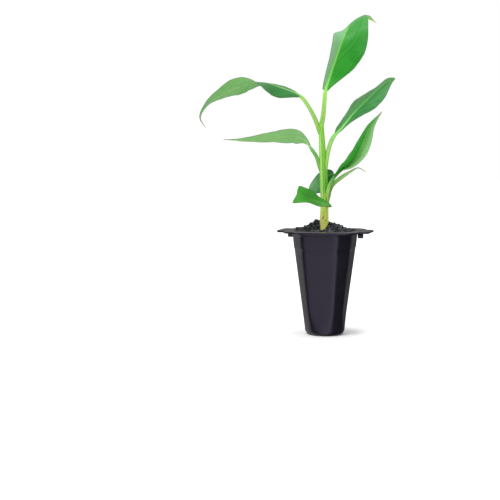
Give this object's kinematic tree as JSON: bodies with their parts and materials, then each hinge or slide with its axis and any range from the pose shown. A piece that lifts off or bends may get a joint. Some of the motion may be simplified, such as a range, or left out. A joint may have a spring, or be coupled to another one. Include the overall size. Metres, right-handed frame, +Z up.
{
  "type": "young banana plant in a nursery pot",
  "caption": "Young banana plant with a green pseudostem, arching stalked leaves and heaped potting soil, in a deep tapered nursery pot with a flat flange.",
  "frame": {"origin": "centre of the pot's flat underside, where it stands", "axes": "+Z up, -Y the front of the plant that the picture shows, +X to its right"},
  "size_m": [0.1972, 0.1001, 0.3218],
  "materials": {
    "pot": "satin",
    "soil": "matte",
    "stem": "satin",
    "stalk": "satin",
    "leaf": "satin"
  },
  "bodies": {
    "root": {"pot": "pot", "potting_soil": "soil", "pseudostem": "stem", "stalk_top": "stalk", "blade_top_inner": "leaf", "blade_top_outer": "leaf", "stalk_upper_left": "stalk", "blade_upper_left_inner": "leaf", "blade_upper_left_outer": "leaf", "stalk_upper_right": "stalk", "blade_upper_right": "leaf", "stalk_lower_left": "stalk", "blade_lower_left_inner": "leaf", "blade_lower_left_outer": "leaf", "stalk_lower_right": "stalk", "blade_lower_right": "leaf", "stalk_narrow_right": "stalk", "blade_narrow_right": "leaf", "stalk_small_front": "stalk", "blade_small_front": "leaf", "stalk_small_back": "stalk", "blade_small_back": "leaf"}
  },
  "joints": []
}
